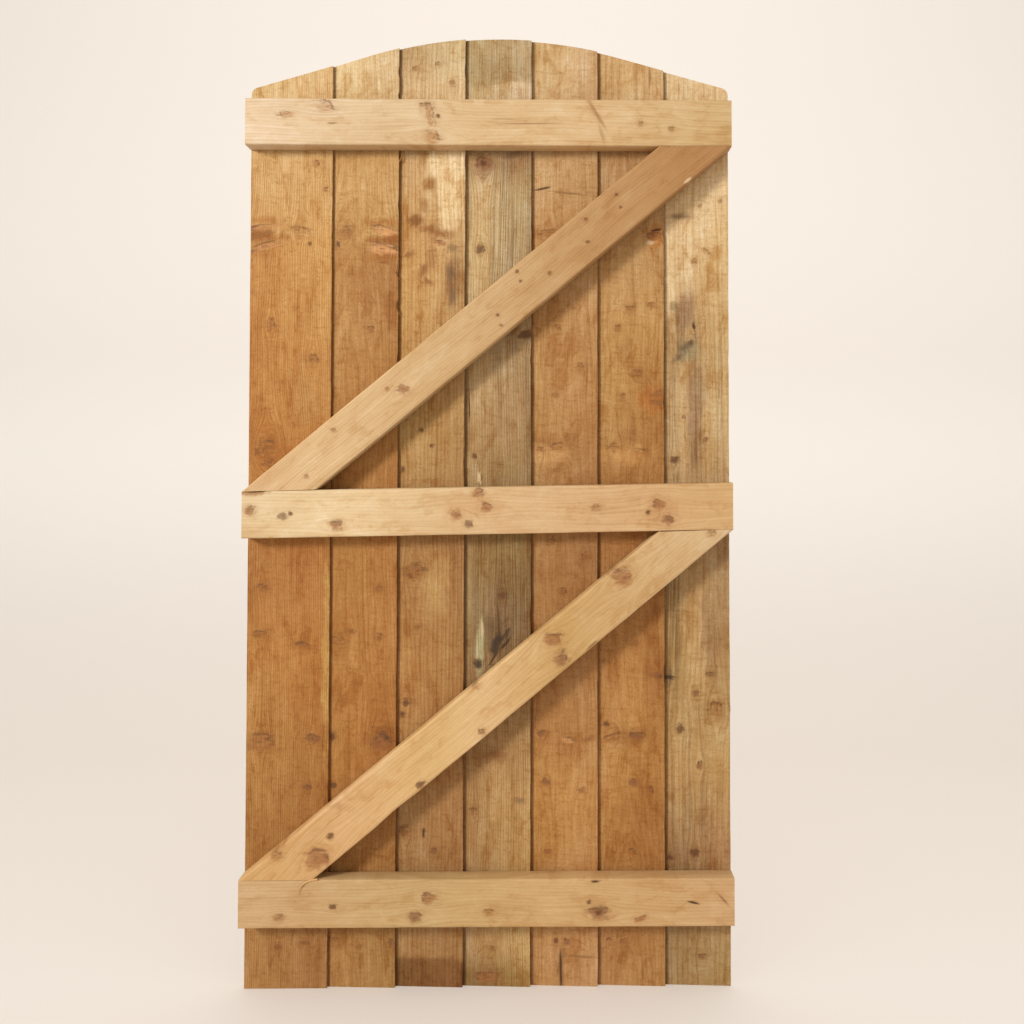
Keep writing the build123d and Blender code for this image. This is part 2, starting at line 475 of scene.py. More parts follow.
def add_marks(g, label, colour, height, fibre):
    """Paints one slot of marks over the colour and the bump height."""
    u, v, seed = g.split(g.attribute(f"mark_{label}"))
    mask = g.attribute(f"mark_{label}", "Alpha")
    rim_amount, halo_amount, hardness = g.split(g.attribute(f"form_{label}"))
    strength = g.attribute(f"look_{label}", "Alpha")

    # The distance from the mark's centre, bent so that its outline is uneven; 1 is the edge.
    wobble = g.noise(u * 0.9, v * 0.9, seed, 3.0, 0.6) - 0.5
    fine = g.noise(u * 3.2, v * 3.2, seed + 7.0, 2.0) - 0.5
    smear = g.noise(u * 0.8, v * 2.2, seed + 3.0, 3.0, 0.65)
    bent_u = u + (g.noise(u * 0.7, v * 0.7, seed + 21.0, 2.0) - 0.5) * 2.0
    bent_v = v + (g.noise(u * 0.7, v * 0.7, seed + 33.0, 2.0) - 0.5) * 1.5
    reach = g.math("SQRT", bent_u * bent_u + bent_v * bent_v) * (1.0 + wobble * 1.1) + fine * 0.30

    # The body of the mark, its dark rim (stronger on one side), the brown halo outside it and its pith
    soft = (1.0 - hardness) * 0.75 + 0.08
    past = g.math("DIVIDE", reach - (1.0 - soft), soft * 2.0, clamp=True)
    core = g.math("SUBTRACT", 1.0, past, clamp=True)
    core = core * core * (3.0 - 2.0 * core)
    lee = g.ramp(v + g.math("SINE", seed * 5.0) * u + wobble * 1.5, -0.3, 0.7)
    edge = (reach - 0.92) * 3.8
    rim = g.math("EXPONENT", edge * edge * -1.0) * rim_amount * mask
    rim = rim * g.ramp(smear, 0.32, 0.58) * (0.15 + lee * 1.5)
    outside = g.math("MAXIMUM", reach - 0.7, 0.0)
    halo = g.math("EXPONENT", outside * -1.25) * halo_amount * mask * g.ramp(smear, 0.34, 0.66, 0.15, 1.25)
    pith = g.ramp(reach, 0.42, 0.05) * rim_amount * mask

    colour = g.tinted(colour, halo * 0.80, (0.72, 0.57, 0.42))
    ripple = g.math("SINE", reach * 14.0) * 0.25 + 0.5
    body = g.mix(1.0, g.attribute(f"look_{label}", "Color"), (1.18, 1.18, 1.18, 1), "MULTIPLY")
    shade = ripple * rim_amount * 0.50 + (fibre - 0.45) * 0.7 + (smear - 0.45) * 0.5
    body = g.mix(g.math("MAXIMUM", shade, 0.0), body, (0.11, 0.055, 0.025, 1))
    colour = g.mix(core * strength * mask, colour, body)
    colour = g.mix(g.math("MULTIPLY", rim, 0.62, clamp=True), colour, (0.105, 0.048, 0.019, 1))
    colour = g.mix(pith * 0.42, colour, (0.060, 0.030, 0.015, 1))
    return colour, height - rim * 0.3 + core * mask * (rim_amount - 0.30) * 0.6 - pith * 0.3


def timber_material(name, spacing, stretch, depths, roughness, relief):
    """Softwood read from each point's grain (across, ring distance, along), tone and marks. A larger stretch
    gives longer fibres; depths says how strongly each pattern shows, and relief is the bump's depth."""
    g = Graph(name)
    across, ring, along = g.split(g.attribute("grain"))
    ring_share, saw_share, grey_share = g.split(g.attribute("character"))
    fibres, streaks, clouds = depths["fibre"], depths["streak"], depths["cloud"]
    saw_marks = saw_share * depths["saw"]

    def grained(fine, fine_along, detail, roughness=0.5):
        """Noise that is this fine across the grain and along it, in cycles for each millimetre."""
        return g.noise(across * fine, ring * fine, along * fine_along, detail, roughness)

    turn = g.math("FRACT", ring / spacing + grained(0.03, 0.003, 2.0) * 1.6)
    late = g.ramp(turn, 0.30, 0.84) * g.ramp(turn, 1.0, 0.90)
    fibre = grained(0.30, 0.008 / stretch, 3.0, 0.7)
    thread = grained(0.48, 0.022 / stretch, 2.0, 0.7)
    grit = grained(0.42, 0.24, 3.0, 0.75)
    streak = grained(0.10, 0.005, 3.0, 0.55)
    warp = grained(0.03, 0.02, 2.0) * 2.4
    mottle = g.noise(across * 0.030 + warp, ring * 0.030, along * 0.017 + warp, 4.0, 0.62)
    patchy = g.noise(across * 0.012, ring * 0.012, along * 0.0065 + 40.0, 3.0, 0.6)
    cut = along + across * 0.06 + grained(0.02, 0.02, 1.0) * 6.0
    saw = g.noise(across * 0.035, ring * 0.035, cut * 0.17, 3.0, 0.75)
    speck = g.ramp(grained(0.40, 0.09, 3.0, 0.7), 0.64, 0.76)
    grey = g.ramp(grained(0.22, 0.004, 3.0, 0.6), 0.42, 0.62) * grey_share

    # Each pattern tints the tone where its value passes from the first number to the second.
    dark = (0.61, 0.455, 0.27)
    ring_mask = late * (0.30 + streak * 1.4) * ring_share
    colour = g.tinted(g.attribute("tone", "Color"), ring_mask * depths["ring"], dark)
    for pattern, none, full, amount, tint in (
        (streak, 0.46, 0.74, streaks, (0.76, 0.66, 0.51)),
        (streak, 0.50, 0.24, streaks, (1.13, 1.20, 1.33)),
        (mottle, 0.50, 0.70, clouds, (0.77, 0.62, 0.42)),
        (mottle, 0.48, 0.28, clouds, (1.12, 1.23, 1.44)),
        (patchy, 0.50, 0.68, clouds * 0.7, (0.84, 0.73, 0.56)),
        (patchy, 0.48, 0.32, clouds * 0.6, (1.10, 1.19, 1.36)),
        (fibre, 0.48, 0.76, fibres * 0.75, dark),
        (fibre, 0.46, 0.24, fibres * 0.7, (1.16, 1.25, 1.42)),
        (thread, 0.50, 0.74, fibres * 0.6, dark),
        (thread, 0.48, 0.26, fibres * 0.7, (1.17, 1.27, 1.45)),
        (grit, 0.50, 0.76, fibres * 1.5, dark),
        (grit, 0.48, 0.24, fibres * 1.3, (1.20, 1.32, 1.56)),
        (saw, 0.50, 0.70, saw_marks, dark),
        (saw, 0.48, 0.30, saw_marks, (1.13, 1.20, 1.33)),
    ):
        colour = g.tinted(colour, g.ramp(pattern, none, full) * amount, tint)
    colour = g.mix(speck * fibres * 0.6, colour, (0.11, 0.062, 0.032, 1))
    colour = g.tinted(colour, grey * 0.8, (0.50, 0.50, 0.50))

    height = ring_mask * 0.3 + fibre * 0.6 + thread * 0.5 + grit * 0.5 * saw_share + saw * saw_share * 0.9
    for label in "ab":
        colour, height = add_marks(g, label, colour, height, fibre)
    end = g.attribute("end_grain", "Fac")
    colour = g.tinted(colour, end * (0.55 + late * 0.4), (0.66, 0.60, 0.52))

    g.plug(g.shader.inputs["Base Color"], colour)
    g.plug(g.shader.inputs["Roughness"], g.ramp(fibre, 0.25, 0.75, roughness - 0.10, roughness + 0.10))
    g.shader.inputs["Specular IOR Level"].default_value = 0.25
    bump = g.node("ShaderNodeBump", {"Height": height, "Strength": 0.9, "Distance": relief * MM}, "Normal")
    g.plug(g.shader.inputs["Normal"], bump)
    return g.material


def nail_material():
    """Dull zinc with a little rust bloom."""
    g = Graph("galvanised_steel")
    x, y, z = g.split(g.node("ShaderNodeTexCoord", {}, "Object"))
    spangle = g.noise(x * 1400.0, y * 1400.0, z * 1400.0, 2.0)
    bloom = g.ramp(g.noise(x * 420.0, y * 420.0, z * 420.0, 3.0, 0.65), 0.50, 0.68)
    colour = g.mix(spangle, (0.36, 0.37, 0.38, 1), (0.58, 0.59, 0.60, 1))
    g.plug(g.shader.inputs["Base Color"], g.mix(bloom * 0.6, colour, (0.23, 0.12, 0.065, 1)))
    g.plug(g.shader.inputs["Roughness"], g.ramp(spangle, 0.3, 0.7, 0.40, 0.62))
    g.shader.inputs["Metallic"].default_value = 0.85
    bump = g.node("ShaderNodeBump", {"Height": spangle, "Strength": 0.4, "Distance": 0.1 * MM}, "Normal")
    g.plug(g.shader.inputs["Normal"], bump)
    return g.material


# ---- boards
# For each board: pith, the (x, y) that its rings run round; lift, its own change of brightness in red,
# green and blue; rings, their spacing and strength; tone, stops of (z, colour at the hinge-side edge, colour
# at the latch-side edge); patches of (x, z, half width, half height, colour, strength); grey zones of (x, z,
# half width, half height, strength); nicks in the thin edge of (z, half length, depth); splinters of (x, z,
# tip x, tip z, lift at the tip); and its marks, as mark() takes them.
DETAILS = {}
DETAILS["board_1"] = dict(
    pith=(-900, 60), lift=(0.97, 0.97, 0.9), rings=(4.0, 0.7),
    tone=[
        (50, (175, 125, 75), (160, 110, 65)), (300, (175, 120, 65), (160, 105, 55)),
        (620, (190, 130, 70), (185, 120, 60)), (780, (180, 120, 65), (180, 115, 60)),
        (1050, (190, 125, 65), (190, 130, 70)), (1400, (195, 135, 75), (210, 155, 95)),
        (1500, (210, 160, 105), (210, 160, 105)), (1700, (225, 185, 135), (220, 175, 125)),
    ],
    patches=[
        (-430, 1418, 50, 10, (166, 102, 44), 0.9), (-436, 1447, 44, 7, (176, 110, 50), 0.7),
        (-436, 1380, 40, 7, (184, 122, 62), 0.6), (-372, 1424, 34, 9, (226, 178, 124), 0.6),
        (-420, 1000, 42, 36, (184, 118, 56), 0.6), (-308, 600, 7, 250, (204, 156, 92), 0.75),
        (-345, 1100, 26, 50, (184, 132, 76), 0.4), (-370, 240, 55, 40, (154, 100, 50), 0.5),
    ],
    marks=[
        (-432, 1434, 26, 5, "rosy", 10, 0.7), (-428, 1397, 30, 7, "rosy", 18, 0.7),
        (-440, 1418, 22, 5, "stain", 14), (-365, 1428, 20, 7, "swirl", -6), (-344, 1402, 3.5, 4, "dark"),
        (-332, 1556, 5, 6, "faint"), (-314, 1506, 4, 5, "faint"), (-417, 1246, 9, 8, "faint"),
        (-337, 1181, 10, 9, "faint"), (-423, 1012, 18, 16, "swirl"), (-417, 983, 11, 8, "swirl"),
        (-428, 748, 9, 6, "faint"), (-431, 661, 12, 6, "faint", 8), (-350, 638, 13, 6, "faint", -8),
        (-430, 458, 19, 13, "knot", 0, 0.6), (-332, 465, 12, 7, "plum", -8), (-340, 374, 7, 5, "plum"),
        (-393, 76, 6, 5, "faint"), (-345, 83, 9, 5, "faint"),
    ],
)
DETAILS["board_2"] = dict(
    pith=(-268, 80), lift=(0.95, 0.955, 0.91), rings=(4.5, 0.6),
    tone=[
        (50, (170, 120, 70), (160, 115, 65)), (300, (170, 115, 60), (160, 105, 55)),
        (480, (185, 125, 65), (175, 115, 60)), (640, (180, 120, 60), (180, 120, 65)),
        (1150, (185, 130, 75), (175, 120, 65)), (1350, (185, 130, 75), (170, 115, 65)),
        (1450, (200, 150, 95), (190, 140, 85)), (1560, (205, 155, 100), (195, 145, 90)),
        (1700, (230, 195, 150), (210, 170, 125)),
    ],
    patches=[
        (-235, 1425, 30, 26, (208, 158, 98), 0.7), (-208, 1411, 40, 8, (158, 94, 38), 0.95),
        (-214, 1443, 34, 7, (172, 108, 50), 0.7), (-210, 1376, 34, 7, (172, 108, 50), 0.7),
        (-200, 468, 26, 24, (140, 90, 46), 0.5), (-290, 466, 12, 18, (140, 90, 46), 0.4),
    ],
    nicks=[
        (1735, 14, 1.8), (1690, 10, 2.2), (1478, 20, 1.2), (1345, 12, 2.0), (1283, 12, 2.4),
        (1180, 16, 1.4),
    ],
    splinters=[(-176, 1362, -169, 1331, 2.2), (-175, 1296, -168, 1262, 1.8), (-175, 1560, -171, 1590, 1.4)],
    marks=[
        (-205, 1429, 23, 8, "rosy", -14), (-203, 1393, 26, 10, "rosy", -10), (-279, 1427, 11, 9, "swirl"),
        (-291, 1402, 4, 5, "dark"), (-227, 1239, 6, 6, "faint"), (-210, 745, 7, 6, "faint"),
        (-210, 655, 8, 7, "faint"), (-286, 646, 12, 8, "swirl"), (-265, 665, 7, 5, "faint"),
        (-206, 456, 16, 14, "knot", 20), (-196, 468, 10, 4, "black", -35), (-297, 467, 6, 8, "dark"),
        (-293, 374, 5, 6, "dark"), (-288, 87, 7, 5, "faint"), (-244, 75, 6, 5, "faint"),
        (-183, 84, 6, 8, "plum"),
    ],
)
DETAILS["board_3"] = dict(
    pith=(300, 80), lift=(0.99, 1.01, 1.0), rings=(7.5, 0.75),
    tone=[
        (50, (125, 85, 45), (130, 85, 45)), (57, (165, 120, 75), (155, 110, 65)),
        (300, (165, 120, 75), (160, 110, 65)), (600, (185, 130, 75), (160, 110, 60)),
        (820, (170, 120, 70), (160, 110, 65)), (1050, (190, 145, 90), (175, 130, 80)),
        (1350, (195, 140, 80), (190, 145, 95)), (1500, (190, 140, 85), (215, 175, 130)),
        (1700, (210, 170, 125), (215, 175, 130)), (1765, (185, 145, 100), (205, 170, 125)),
    ],
    patches=[
        (-84, 1562, 36, 66, (233, 199, 156), 1.0), (-76, 1490, 26, 60, (228, 190, 144), 0.9),
        (-126, 1574, 9, 20, (176, 126, 74), 0.7), (-116, 1520, 11, 17, (164, 110, 58), 0.8),
        (-126, 1480, 10, 16, (156, 102, 52), 0.8), (-143, 1449, 16, 12, (146, 92, 44), 0.95),
        (-112, 1380, 10, 36, (160, 106, 56), 0.6), (-122, 1432, 17, 9, (158, 100, 50), 0.9),
        (-90, 1421, 22, 8, (162, 108, 60), 0.8), (-96, 1404, 20, 9, (222, 172, 118), 0.7),
        (-68, 1330, 17, 42, (158, 112, 74), 0.75), (-104, 760, 26, 60, (198, 152, 94), 0.5),
        (-140, 779, 22, 14, (146, 96, 48), 0.45),
    ],
    grey=[(-66, 1330, 20, 60, 0.6)],
    nicks=[(1740, 18, 1.0), (1560, 30, 0.8), (985, 16, 1.2)],
    marks=[
        (-146, 1449, 10, 4, "stain", -24), (-104, 1428, 13, 5, "stain", -24, 1.0),
        (-96, 1405, 12, 6, "knot", -12), (-69, 1393, 9, 7, "grey"), (-155, 1383, 10, 5, "stain", 20),
        (-128, 1352, 12, 6, "stain", 65, 1.2), (-118, 1330, 8, 5, "stain", -30, 1.1),
        (-76, 1345, 6, 16, "grey", 4), (-72, 1302, 5, 14, "grey", -4), (-145, 1743, 5, 5, "faint"),
        (-101, 1751, 5, 4, "faint"), (-74, 1713, 5, 6, "faint"), (-130, 1046, 4, 4, "dark"),
        (-111, 1017, 4, 3, "dark"), (-166, 972, 4, 5, "dark"), (-140, 778, 20, 9, "swirl", 12),
        (-150, 770, 5, 4, "dark"), (-138, 670, 6, 5, "faint"), (-158, 529, 7, 6, "dark"),
        (-165, 508, 5, 5, "dark"), (-157, 287, 10, 9, "faint"), (-123, 287, 2.5, 9, "slit"),
        (-104, 253, 6, 5, "plum"),
    ],
)
DETAILS["board_4"] = dict(
    pith=(-420, 60), lift=(1.06, 1.11, 1.13), rings=(4.6, 0.8),
    tone=[
        (25, (130, 95, 55), (150, 110, 60)), (70, (165, 125, 85), (180, 140, 90)),
        (350, (160, 115, 70), (180, 135, 85)), (560, (150, 110, 70), (150, 110, 70)),
        (680, (160, 125, 85), (130, 95, 60)), (820, (160, 120, 75), (145, 110, 65)),
        (1080, (180, 140, 95), (160, 120, 80)), (1400, (200, 160, 110), (170, 135, 95)),
        (1510, (205, 165, 120), (175, 140, 95)), (1565, (170, 130, 85), (160, 120, 85)),
        (1710, (195, 160, 115), (210, 175, 140)), (1720, (170, 135, 90), (180, 145, 105)),
    ],
    patches=[
        (18, 652, 28, 44, (112, 82, 54), 0.75), (20, 720, 22, 40, (134, 100, 72), 0.5),
        (-17, 645, 7, 60, (186, 170, 128), 0.75), (15, 350, 20, 70, (184, 141, 92), 0.6),
        (10, 431, 26, 16, (138, 92, 50), 0.6), (40, 590, 22, 60, (128, 94, 58), 0.5),
        (-4, 25, 26, 20, (140, 98, 58), 0.5), (-14, 1556, 24, 22, (150, 104, 70), 0.5),
    ],
    grey=[
        (30, 1350, 34, 300, 1.0), (-40, 1300, 8, 420, 0.8), (72, 1200, 8, 500, 0.8),
        (20, 760, 70, 260, 0.7), (15, 1745, 70, 28, 0.5),
    ],
    nicks=[(1180, 20, 1.0), (700, 26, 0.9)],
    splinters=[(-24, 944, -17, 962, 3.2)],
    marks=[
        (-14, 1560, 13, 12, "plum"), (-14, 1560, 5, 5, "dark"), (47, 1575, 18, 6, "grey", 12),
        (-19, 1393, 7, 7, "dark"), (66, 1229, 13, 7, "dark", 12), (48, 1240, 10, 5, "stain", 30),
        (-39, 1092, 1.6, 26, "slit", 2), (-29, 996, 4, 5, "dark"), (-20, 955, 4, 11, "pale"),
        (21, 977, 5, 5, "faint"), (24, 732, 6, 6, "dark"), (13, 640, 7, 20, "black", -14),
        (28, 655, 4, 16, "black", -38, 0.8), (-13, 668, 2.5, 20, "pale", 3, 0.7), (-21, 602, 7, 8, "black"),
        (10, 616, 2.2, 20, "slit", -32), (30, 640, 2.2, 18, "slit", -40), (4, 585, 12, 5, "grey", 10),
        (10, 431, 20, 7, "stain", 6), (59, 346, 10, 5, "grey"), (-29, 326, 6, 6, "faint"),
        (4, 70, 6, 6, "faint"), (-2, 16, 17, 11, "knot"),
    ],
)
DETAILS["board_5"] = dict(
    pith=(150, 90), lift=(0.94, 0.94, 0.93), rings=(5.0, 0.5),
    tone=[
        (50, (175, 125, 75), (180, 130, 85)), (350, (185, 130, 70), (185, 130, 75)),
        (520, (170, 115, 65), (170, 115, 65)), (800, (175, 125, 75), (160, 110, 65)),
        (1100, (185, 135, 80), (180, 125, 75)), (1450, (195, 145, 95), (185, 140, 90)),
        (1750, (210, 170, 120), (200, 155, 110)),
    ],
    patches=[
        (112, 1030, 40, 12, (160, 104, 54), 0.55), (116, 998, 36, 16, (206, 152, 96), 0.6),
        (170, 1180, 30, 16, (196, 146, 92), 0.5), (137, 30, 8, 40, (128, 82, 44), 0.7),
    ],
    marks=[
        (100, 1511, 15, 2.2, "slit", 12), (150, 1502, 34, 1.8, "line", -7), (114, 1427, 22, 5, "swirl", 8),
        (128, 1242, 6, 6, "faint"), (172, 1169, 7, 6, "faint"), (126, 1113, 6, 5, "faint"),
        (132, 1014, 12, 7, "swirl"), (92, 1010, 9, 6, "swirl"), (119, 835, 8, 6, "faint"),
        (182, 810, 7, 6, "faint"), (140, 740, 6, 6, "faint"), (100, 470, 8, 6, "plum"),
        (151, 458, 13, 6, "rosy", -10, 0.7), (191, 462, 10, 4, "stain", 14), (108, 380, 7, 6, "plum"),
        (176, 366, 7, 6, "plum", 0, 0.7), (112, 249, 6, 5, "faint"), (148, 81, 7, 6, "plum"),
        (127, 83, 4, 5, "dark"), (136, 35, 2.4, 36, "slit", 2), (174, 55, 24, 1.8, "line", -4),
    ],
)
DETAILS["board_6"] = dict(
    pith=(262, 75), lift=(0.95, 0.955, 0.93), rings=(5.0, 0.5),
    tone=[
        (50, (170, 120, 75), (165, 115, 65)), (260, (170, 115, 60), (155, 100, 50)),
        (400, (185, 130, 75), (170, 115, 60)), (800, (170, 115, 65), (165, 110, 60)),
        (1100, (185, 135, 80), (170, 115, 60)), (1250, (190, 140, 85), (185, 135, 80)),
        (1560, (190, 145, 100), (185, 140, 95)), (1720, (200, 155, 105), (205, 160, 110)),
    ],
    patches=[
        (318, 1419, 16, 22, (190, 122, 60), 0.7), (310, 1107, 26, 24, (178, 108, 48), 0.7),
        (262, 1000, 44, 18, (204, 148, 90), 0.55), (262, 1034, 30, 14, (160, 106, 56), 0.5),
        (322, 590, 9, 60, (150, 92, 44), 0.6), (255, 465, 38, 16, (158, 104, 52), 0.6),
        (270, 560, 26, 70, (188, 132, 76), 0.5),
    ],
    nicks=[(1425, 10, 2.4), (1100, 14, 1.2), (585, 30, 1.2), (300, 40, 0.8)],
    splinters=[(328, 1424, 334, 1402, 2.6)],
    marks=[
        (307, 1728, 2.2, 16, "line"), (316, 1419, 12, 8, "knot"), (318, 1431, 11, 2.4, "slit", 8),
        (307, 1407, 7, 4, "pale"), (310, 1286, 6, 6, "faint"), (268, 1279, 7, 6, "faint"),
        (245, 1242, 6, 6, "faint"), (281, 1156, 7, 6, "faint"), (252, 1113, 6, 6, "faint"),
        (321, 1116, 15, 6, "stain", 10, 1.2), (322, 1098, 13, 5, "stain", -8, 1.3),
        (241, 1014, 12, 7, "swirl"), (283, 1006, 13, 6, "swirl"), (277, 641, 6, 6, "faint"),
        (311, 583, 15, 5, "stain", -6, 1.2), (322, 580, 7, 4, "dark", -10), (235, 462, 15, 9, "swirl", 20),
        (280, 467, 12, 7, "plum"), (223, 488, 7, 5, "dark"), (274, 379, 7, 6, "plum"),
        (305, 362, 7, 6, "faint"), (272, 248, 7, 6, "faint"), (257, 82, 7, 5, "faint"),
        (229, 82, 5, 5, "faint"),
    ],
)
DETAILS["board_7"] = dict(
    pith=(900, 50), lift=(1.03, 1.05, 1.07), rings=(9.5, 0.6),
    tone=[
        (50, (145, 110, 70), (155, 120, 75)), (250, (145, 105, 65), (160, 115, 75)),
        (400, (180, 135, 85), (180, 140, 90)), (620, (165, 125, 75), (165, 125, 80)),
        (820, (175, 135, 90), (160, 120, 80)), (1080, (190, 150, 105), (200, 160, 110)),
        (1200, (170, 130, 85), (195, 155, 105)), (1400, (210, 170, 125), (210, 170, 120)),
        (1700, (215, 180, 135), (215, 175, 130)),
    ],
    patches=[
        (346, 1350, 11, 100, (222, 186, 142), 0.7), (379, 1270, 20, 34, (150, 108, 76), 0.8),
        (376, 1200, 24, 22, (142, 124, 92), 0.7), (352, 1285, 8, 8, (120, 98, 66), 0.6),
        (394, 1075, 15, 120, (156, 118, 80), 0.7), (392, 640, 22, 90, (194, 150, 98), 0.6),
        (368, 1458, 24, 10, (176, 140, 102), 0.5), (341, 577, 12, 22, (124, 92, 58), 0.6),
        (418, 650, 22, 70, (150, 110, 78), 0.5), (392, 1060, 16, 90, (150, 108, 76), 0.5),
        (340, 800, 10, 60, (140, 104, 66), 0.5),
    ],
    grey=[
        (350, 800, 16, 420, 0.9), (395, 1075, 18, 130, 0.7), (440, 1000, 14, 300, 0.5),
        (375, 1240, 26, 60, 0.8), (370, 300, 60, 240, 0.5),
    ],
    nicks=[(518, 14, -2.0), (1180, 20, 0.8)],
    marks=[
        (403, 1478, 4, 4, "faint"), (442, 1486, 4, 4, "plum", 0, 0.7), (362, 1458, 18, 5, "grey"),
        (393, 1371, 5, 5, "faint", 0, 0.8), (414, 1391, 12, 4, "swirl", -30), (390, 1247, 3, 8, "slit", 15),
        (361, 1186, 10, 5, "grey", 42, 1.3), (374, 1206, 13, 6, "grey", 30, 1.4), (385, 1214, 5, 5, "dark"),
        (371, 1071, 4, 4, "plum", 0, 0.8), (413, 1027, 4, 5, "plum", 0, 0.8), (354, 989, 7, 8, "dark"),
        (342, 577, 10, 4, "black", -8), (393, 546, 6, 6, "plum"), (421, 582, 8, 5, "plum"),
        (431, 518, 15, 11, "swirl"), (362, 479, 8, 7, "dark"), (400, 411, 6, 7, "plum"),
        (390, 246, 8, 7, "dark"), (344, 236, 6, 6, "dark"), (403, 53, 6, 6, "plum"),
    ],
)


RING_UNIT = 5.0  # the ring spacing that the board shader draws
COLUMN_STEP, BOARD_ROW_STEP, TIMBER_ROW_STEP = 4.0, 5.0, 4.0  # the meshes' fineness
ARRIS = 0.5  # how far in the boards' long edges are eased
EDGE_BAND = 9.0  # how much of a board's width moves with a ragged edge
BOARD_SPLINTER_WIDTH, TIMBER_SPLINTER_WIDTH = 2.6, 5.0
# Painted shade, with some dirt, where a board comes out from under the one before: how much it takes off
LAP_SHADE_AND_DIRT = 0.55 * np.array([0.75, 0.9, 1.0])  # of red, green and blue, close to the edge of the board before


def spread(low, high, step):
    """Places from low to high, close together at both ends."""
    close = [0.0, 0.6, 1.8, 3.5, 6.0, 10.0]
    middle = np.linspace(low + close[-1], high - close[-1], int((high - low) / step))
    return np.concatenate([low + np.array(close[:-1]), middle, high - np.array(close[:-1])[::-1]])


def zone_cover(x, z, zones):
    """How strongly soft-edged zones of (x, z, half width, half height, strength) cover each point."""
    cover = np.zeros(len(x))
    for zx, zz, half_x, half_z, strength in zones:
        reach = np.hypot((x - zx) / half_x, (z - zz) / half_z)
        cover = np.maximum(cover, strength * smooth(reach, 1.2, 0.5))
    return cover


def make_board(index, material):
    node = f"board_{index + 1}"
    details = DETAILS[node]
    marks = [mark(*m) for m in details["marks"]]
    low_x, high_x, inner, outer = board_section(index)
    piece = Piece(0, 0, pi / 2)
    skin = Skin(piece)
    xs = spread(low_x, high_x, COLUMN_STEP)
    ends = (xs == xs[0]) | (xs == xs[-1])
    middle = (inner(xs[[0, -1]]) + outer(xs[[0, -1]])) / 2
    chains = []
    for face, sign in ((inner, 1), (outer, -1)):
        chain = np.column_stack([-xs, face(xs) + sign * ARRIS * ends])
        chains.append(np.vstack([(-xs[0], middle[0]), chain, (-xs[-1], middle[1])]))
    rows = np.linspace(0, 1, int(ARCH_TOP / BOARD_ROW_STEP))
    skin.sweep(*chains, lambda p: p * 0, lambda p: arch(-p), rows, 4)
    for x, z, tip_x, tip_z, lift in details.get("splinters", []):
        face_y = float(inner(np.array(min(x, high_x))))
        skin.splinter(x, z, tip_x, tip_z, face_y, BOARD_SPLINTER_WIDTH, lift)

    def shape(local):
        """Makes the thin edge ragged and nicked, the thick edge a little uneven and the faces wavy."""
        across, depth, along = local.T
        x, z = -across, along.copy()
        near_thin, near_thick = smooth(high_x - x, EDGE_BAND, 0), smooth(x - low_x, EDGE_BAND, 0)
        ragged = 0.7 * wander(z / 55, index + 3.3) + 0.35 * wander(z / 9, index + 8.1)
        for nick_z, half, size in details.get("nicks", []):
            ragged = ragged - size * smooth(np.abs(z - nick_z + 4 * wander(z / 6, 2.2)), half, 0)
        if index < BOARD_COUNT - 1:
            across -= near_thin * (ragged - 0.5)
        else:
            across -= near_thin * (ragged * 0.6 - 0.6)
        across -= near_thick * (0.5 + 0.5 * wander(z / 70, index + 21.7))
        depth += 0.22 * cloud(x / 40, z / 130, index + 40.0) * smooth(z, 0, 30)
        return local

    obj, x, y, z, local = skin.object(f"{node}_sawn", shape)
    pith_x, pith_y = details["pith"]
    spacing, ring_strength = details["rings"]
    across = -part_grain(local[:, 0], local[:, 2], marks, piece)
    centre = pith_x + 16 * wander(z / 800, index + 5.0)
    deep = pith_y + 14 * wander(z / 420, index + 9.0) + 0.012 * (z - 900)
    ring = np.hypot(across - centre, y - deep) * RING_UNIT / spacing
    shown_from = low_x + (BOARD_WIDTH - BOARD_STEP if index else 0)
    share = np.clip((x - shown_from) / (high_x - shown_from), 0, 1)
    gain = BOARD_GAIN * details["lift"]
    tone = tone_at(x, z, z, share, details["tone"], details["patches"], index + 0.5, gain)
    # Painted shade, with some dirt: the inner face is darkened within about 7 mm of where this board comes
    # out from under the one before
    if index:
        creep = x - shown_from - 1.5 * wander(z / 30, index + 60.0)
        lap_shade_and_dirt = smooth(creep, 7.0, 1.0) * (np.abs(y - inner(x)) < 2)
        tone[:, :3] *= 1 - lap_shade_and_dirt[:, None] * LAP_SHADE_AND_DIRT
    grey = zone_cover(x, z, details.get("grey", []))
    character = np.column_stack([x * 0 + ring_strength, x * 0 + 1.0, grey])
    grain = np.column_stack([across, ring, local[:, 2] + 3000 * index])
    dress(obj, x, z, grain, tone, character, marks, material, node)


# ---- ledges and braces
# For each: pith, as (across, depth) from the middle of the front face; tone, stops of (share of the leaf's
# width from the hinge side, colour); wane on the front arrises, as (place along from a ledge's middle or a
# brace's foot, half length, depth, upper edge 1 or lower edge -1); the rest as for the boards.
DETAILS["ledge_top"] = dict(
    pith=(-170, 62), lift=(0.93, 0.93, 0.91),
    tone=[
        (0.0, (240, 205, 165)), (0.3, (230, 195, 150)), (0.5, (225, 185, 135)), (0.7, (225, 185, 135)),
        (1.0, (215, 175, 120)),
    ],
    marks=[
        (-309, 1654, 17, 8, "swirl", -10, 0.7), (-382, 1638, 12, 6, "swirl", 0, 0.7),
        (-294, 1622, 8, 2, "line"), (-120, 1657, 9, 5, "faint"), (-108, 1596, 14, 12, "swirl", 0, 1.5),
        (-112, 1640, 8, 22, "swirl", 16, 0.8), (-95, 1636, 3.5, 3.5, "dark"),
        (80, 1623, 52, 1.4, "line", 0.5, 0.7), (30, 1631, 30, 1.2, "line", -2, 0.5),
        (203, 1640, 26, 4, "stain", -58, 0.6), (212, 1604, 16, 2.5, "stain", -75, 0.4),
        (284, 1624, 5, 5, "faint"), (344, 1613, 5, 5, "faint"),
    ],
)
